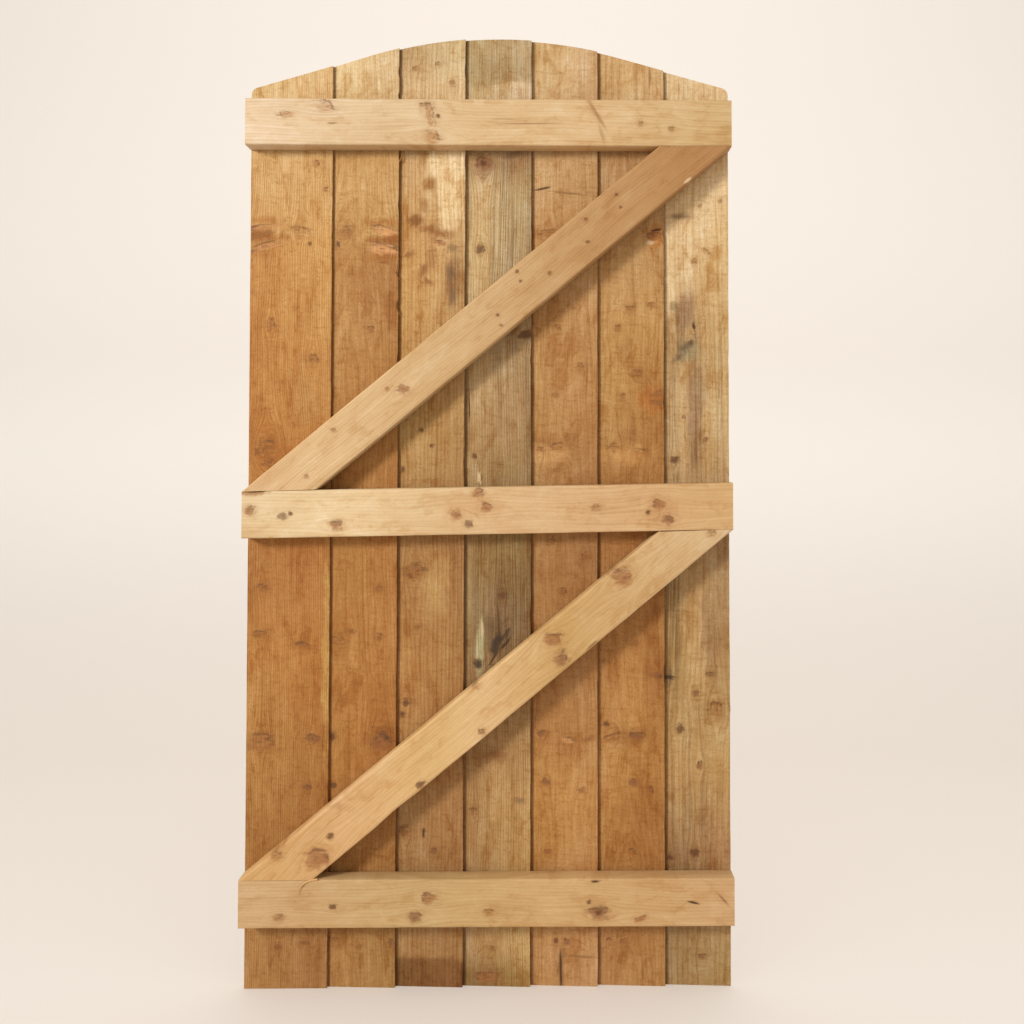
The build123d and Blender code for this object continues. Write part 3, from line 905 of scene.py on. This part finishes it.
DETAILS["ledge_middle"] = dict(
    wane=[(-432, 34, 2.6, 1)],
    pith=(120, 60), lift=(1.0, 1.0, 1.0),
    tone=[
        (0.0, (230, 195, 145)), (0.2, (235, 200, 150)), (0.45, (220, 180, 130)), (0.75, (215, 170, 120)),
        (1.0, (210, 165, 110)),
    ],
    patches=[
        (-432, 930, 32, 6, (172, 116, 62), 0.85), (-30, 905, 48, 26, (208, 156, 100), 0.5),
        (326, 893, 40, 24, (196, 144, 92), 0.5),
    ],
    marks=[
        (-443, 896, 9, 7, "knot"), (-382, 885, 8, 6, "dark", 0, 0.7), (-367, 890, 4, 3.5, "dark"),
        (-282, 868, 10, 9, "knot"), (-18, 928, 8, 7, "knot"), (-3, 902, 9, 8, "knot"),
        (-59, 887, 8, 7, "knot"), (-37, 870, 7, 6, "dark", 0, 0.8), (199, 902, 8, 6, "faint"),
        (318, 907, 10, 9, "knot"), (337, 879, 9, 9, "plum"), (298, 892, 4, 4, "dark"),
    ],
)
DETAILS["ledge_bottom"] = dict(
    pith=(-150, 58), lift=(0.91, 0.92, 0.91),
    tone=[(0.0, (215, 170, 120)), (0.35, (205, 165, 110)), (0.65, (210, 165, 110)), (1.0, (205, 160, 110))],
    marks=[
        (-382, 148, 8, 6, "faint"), (-283, 167, 6, 5, "dark"), (-106, 183, 12, 9, "knot"),
        (-132, 148, 11, 9, "plum"), (3, 157, 8, 6, "faint"), (199, 212, 9, 2.2, "slit", 6),
        (188, 174, 4, 4, "dark"), (206, 154, 15, 11, "plum"), (206, 154, 5, 4, "dark"),
        (284, 143, 10, 5, "knot", 18), (380, 173, 10, 2, "slit", -12), (436, 178, 14, 2, "line", -50),
    ],
)
DETAILS["brace_upper"] = dict(
    pith=(-200, 64), lift=(0.93, 0.9, 0.83),
    tone=[
        (0.0, (225, 180, 130)), (0.15, (230, 190, 140)), (0.45, (215, 175, 125)), (0.7, (200, 155, 105)),
        (0.9, (185, 135, 85)),
    ],
    marks=[
        (240, 1489, 3.1, 2.5, "dark", 0, 0.8), (248, 1465, 2.5, 2.5, "dark", 0, 0.8),
        (182, 1442, 3.7, 3.1, "plum"), (186, 1399, 3.7, 3.1, "dark", 0, 0.8),
        (53, 1343, 3.1, 3.1, "dark", 0, 0.8), (60, 1325, 2.5, 2.5, "dark", 0, 0.8),
        (114, 1340, 3.7, 3.1, "plum"), (17, 1261, 3.1, 3.1, "dark", 0, 0.8), (23, 1242, 3.1, 2.5, "plum"),
        (374, 1516, 8, 3, "pale", 40), (-159, 1122, 9, 8, "knot"), (-189, 1122, 3.7, 3.1, "faint"),
        (-289, 1045, 4.3, 3.7, "faint"), (-338, 959, 3.7, 3.1, "faint"),
    ],
)
DETAILS["brace_lower"] = dict(
    pith=(170, 60), lift=(0.98, 0.99, 0.98),
    tone=[
        (0.0, (210, 160, 100)), (0.2, (220, 170, 115)), (0.4, (220, 175, 115)), (0.5, (225, 180, 125)),
        (0.65, (205, 160, 100)), (0.75, (210, 165, 110)), (0.9, (215, 175, 125)), (1.0, (220, 185, 140)),
    ],
    patches=[(-400, 283, 26, 7, (176, 118, 62), 0.6), (-295, 352, 40, 7, (182, 126, 70), 0.5)],
    marks=[
        (417, 853, 7, 6, "faint"), (251, 770, 15, 14, "knot"), (123, 655, 14, 12, "knot"),
        (137, 620, 13, 11, "plum"), (193, 646, 12, 2, "line", 40), (-23, 571, 7, 6, "faint"),
        (-10, 486, 6, 6, "plum"), (-122, 391, 9, 5, "dark", 30), (-289, 296, 5, 5, "dark"),
        (-313, 256, 18, 15, "knot"), (-388, 262, 9, 7, "faint"),
    ],
    wane=[(40, 130, 3.2, 1), (250, 60, 2.0, -1)],
    splinters=[(-311, 217, -353, 191, 7.0)],
)


def timber_chains(front, back, half):
    """The rounded section as two chains of (across, depth): the front's and the back's."""
    flat = np.linspace(-half + EASING, half - EASING, 21)
    turns = np.linspace(0, pi / 2, 4)[:-1]
    corner = np.column_stack([EASING * (1 - np.cos(turns)), EASING * (1 - np.sin(turns))])
    chains = []
    for depth, sign in ((front, 1), (back, -1)):
        left_corner = [(-half + a, depth + sign * b) for a, b in corner]
        right_corner = [(half - a, depth + sign * b) for a, b in corner[::-1]]
        chain = [(-half, (front + back) / 2), *left_corner, *[(p, depth) for p in flat], *right_corner]
        chains.append(np.array([*chain, (half, (front + back) / 2)]))
    return chains


def make_timber(node, piece, start, end, edges, seed, material):
    """A planed timber. For a distance across, start and end give its ends; for a place along, edges gives
    its two edges."""
    details = DETAILS[node]
    marks = [mark(*m) for m in details["marks"]]
    half = TIMBER_WIDTH / 2
    skin = Skin(piece)
    length = float(np.ptp([start(np.array(-half)), end(np.array(half))]))
    rows = np.linspace(0, 1, int(length / TIMBER_ROW_STEP))
    skin.sweep(*timber_chains(LEDGE_FRONT, LEDGE_BACK, half), start, end, rows, 8)
    for x, z, tip_x, tip_z, lift in details.get("splinters", []):
        skin.splinter(x, z, tip_x, tip_z, LEDGE_FRONT, TIMBER_SPLINTER_WIDTH, lift)

    def shape(local):
        """Brings the timber to its two edges, then wears the edges and makes the faces slightly wavy."""
        across, depth, along = local.T
        lower, upper = edges(along)
        across[:] = lower + (across + half) / (2 * half) * (upper - lower)
        near_top, near_foot = smooth(across, half - 12, half), smooth(-across, half - 12, half)
        across += (near_top - near_foot) * 0.45 * wander(along / 45, seed + 30)
        front = smooth(-depth, -5, 25)
        for place, reach, size, side in details.get("wane", []):
            away = np.abs(along - place + 6 * wander(along / 14, seed))
            near_edge = near_top if side > 0 else near_foot
            across -= side * size * smooth(away, reach, 0) * near_edge * front
        depth += 0.10 * cloud(across / 60, along / 160, seed) * smooth(-depth, 0, 20)
        return local

    obj, x, y, z, local = skin.object(f"{node}_planed", shape)
    pith_across, pith_depth = details["pith"]
    along = local[:, 2]
    across = part_grain(local[:, 0], along, marks, piece)
    centre = pith_across + 12 * wander(along / 420, seed + 1)
    deep = LEDGE_FRONT + pith_depth + 10 * wander(along / 300, seed + 2) + 0.014 * along
    ring = np.hypot(across - centre, y - deep)
    share = np.clip(local[:, 0] / (2 * half) + 0.5, 0, 1)
    place = (x - LEFT) / (RIGHT - LEFT)
    gain = TIMBER_GAIN * details["lift"]
    tone = tone_at(x, z, place, share, details["tone"], details.get("patches", []), seed, gain)
    character = np.tile([1.0, 0.25, 0.0], (len(x), 1))
    grain = np.column_stack([across, ring, along + 900 * seed])
    dress(obj, x, z, grain, tone, character, marks, material, node)


def make_ledge(node, ledge, seed, material):
    centre_z, tilt = ledge
    piece = Piece(0, centre_z, tilt)
    half = TIMBER_WIDTH / 2

    def end_at(x):
        return lambda across: (x + across * piece.s) / piece.c

    def edges(along):
        return along * 0 - half, along * 0 + half

    make_timber(node, piece, end_at(LEFT), end_at(RIGHT), edges, seed, material)


def make_brace(node, lower, upper, seed, material):
    """A brace whose foot bears on the lower ledge and whose head bears under the upper one."""
    foot, head = (LEFT + BRACE_CUT, RIGHT - BRACE_CUT)
    low_line = ((foot, ledge_edge(lower, 1, foot)), (RIGHT, ledge_edge(upper, -1, RIGHT)))
    high_line = ((LEFT, ledge_edge(lower, 1, LEFT)), (head, ledge_edge(upper, -1, head)))
    starts = [(a + b) / 2 for a, b in zip(low_line[0], high_line[0])]
    ends = [(a + b) / 2 for a, b in zip(low_line[1], high_line[1])]
    piece = Piece(*starts, atan2(ends[1] - starts[1], ends[0] - starts[0]))

    def edge_at(line):
        (a0, s0), (a1, s1) = (piece.local(*point) for point in line)
        return lambda along: a0 + (along - s0) * (a1 - a0) / (s1 - s0)

    def cut(ledge, side):
        slope = tan(ledge[1])
        rise = ledge_edge(ledge, side, piece.x) - piece.z
        return lambda across: (rise - across * (piece.c + piece.s * slope)) / (piece.s - piece.c * slope)

    def edges(along):
        return edge_at(low_line)(along), edge_at(high_line)(along)

    make_timber(node, piece, cut(lower, 1), cut(upper, -1), edges, seed, material)


board_depths = dict(ring=0.40, fibre=0.46, streak=0.40, cloud=0.85, saw=0.36)
frame_depths = dict(ring=0.15, fibre=0.13, streak=0.30, cloud=0.50, saw=0.04)
board_timber = timber_material(
    "sawn_board_timber", spacing=RING_UNIT, stretch=1.0, depths=board_depths, roughness=0.74, relief=1.0
)
frame_timber = timber_material(
    "planed_frame_timber", spacing=5.5, stretch=3.0, depths=frame_depths, roughness=0.62, relief=0.3
)
for index in range(BOARD_COUNT):
    make_board(index, board_timber)
make_ledge("ledge_top", TOP_LEDGE, 1.0, frame_timber)
make_ledge("ledge_middle", MIDDLE_LEDGE, 2.0, frame_timber)
make_ledge("ledge_bottom", BOTTOM_LEDGE, 3.0, frame_timber)
make_brace("brace_upper", MIDDLE_LEDGE, TOP_LEDGE, 4.0, frame_timber)
make_brace("brace_lower", BOTTOM_LEDGE, MIDDLE_LEDGE, 5.0, frame_timber)
zinc = nail_material()
for node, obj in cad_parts.items():
    if node.startswith("nails_"):
        obj.data.materials.clear()
        obj.data.materials.append(zinc)


# ---- studio
def make_sweep():
    """A pale floor that curves up into a backdrop. Its colour holds painted shade, darker on the floor and
    high up on the backdrop, and painted light, paler far away, where less light reaches it.
    """
    reach, radius, wall_y, top, steps = 16.0, 1.5, 2.9, 6.0, 24
    profile = [(-reach, 0.0), (wall_y - radius, 0.0)]
    for k in range(1, steps + 1):
        turn = pi / 2 * k / steps
        profile.append((wall_y - radius + radius * sin(turn), radius * (1 - cos(turn))))
    profile.append((wall_y, top))
    points = [(x, y, z - 0.5 * MM) for x in (-reach, reach) for y, z in profile]
    n = len(profile)
    mesh = bpy.data.meshes.new("sweep")
    mesh.from_pydata(points, [], [(j, j + n, j + n + 1, j + 1) for j in range(n - 1)])
    mesh.shade_smooth()
    sweep = bpy.data.objects.new("sweep", mesh)
    bpy.context.scene.collection.objects.link(sweep)
    g = Graph("pale_paper_with_painted_light")
    x, y, height = g.split(g.node("ShaderNodeTexCoord", {}, "Object"))
    # Painted shade and light: the floor is darker than the low backdrop, the backdrop darkens again high up,
    # and all of it pales far from the middle
    paper_with_painted_light = g.mix(g.ramp(height, 0.0, 1.1), (0.74, 0.68, 0.615, 1), (0.88, 0.83, 0.765, 1))
    paper_with_painted_light = g.mix(g.ramp(height, 1.7, 3.6), paper_with_painted_light, (0.79, 0.735, 0.67, 1))
    paper_with_painted_light = g.mix(g.ramp(g.math("SQRT", x * x + y * y), 4.2, 9.0), paper_with_painted_light, (0.97, 0.95, 0.93, 1))
    g.plug(g.shader.inputs["Base Color"], paper_with_painted_light)
    g.shader.inputs["Roughness"].default_value = 0.9
    g.shader.inputs["Specular IOR Level"].default_value = 0.1
    mesh.materials.append(g.material)
    return sweep


def area_light(name, place, target, size, power, lit=None, unlit=None):
    """A square soft light. It reaches only the object lit, or all but the object unlit, if one is given."""
    data = bpy.data.lights.new(name, "AREA")
    data.size, data.energy = size, power
    light = bpy.data.objects.new(name, data)
    light.location = place
    light.rotation_euler = (Vector(target) - Vector(place)).to_track_quat("-Z", "Y").to_euler()
    bpy.context.scene.collection.objects.link(light)
    if lit or unlit:
        group = bpy.data.collections.new(f"{name}_reach")
        group.objects.link(lit or unlit)
        group.collection_objects[0].light_linking.link_state = "INCLUDE" if lit else "EXCLUDE"
        light.light_linking.receiver_collection = group
        if lit:
            light.light_linking.blocker_collection = group


sweep = make_sweep()
area_light("key", (-2.7, -2.5, 2.2), target=(0, 0, 0.95), size=0.75, power=124.0, unlit=sweep)
area_light("backdrop_light", (0, -1.7, 5.6), target=(0, 2.2, 0.6), size=4.5, power=205.0, lit=sweep)

world = bpy.data.worlds.new("studio")
world.use_nodes = True
background = world.node_tree.nodes["Background"]
background.inputs["Color"].default_value = (1.0, 0.985, 0.965, 1)
background.inputs["Strength"].default_value = 0.70
bpy.context.scene.world = world
bpy.context.scene.view_settings.view_transform = "Standard"

camera = bpy.data.objects.new("camera", bpy.data.cameras.new("camera"))
camera.location = (0.1183, -1.863, 1.0077)
camera.rotation_euler = (radians(91.487), radians(-0.035), radians(-0.675))
camera.data.lens, camera.data.sensor_width = 34.5, 36.0
camera.data.shift_x, camera.data.shift_y = -0.05, -0.085
bpy.context.scene.collection.objects.link(camera)
bpy.context.scene.camera = camera
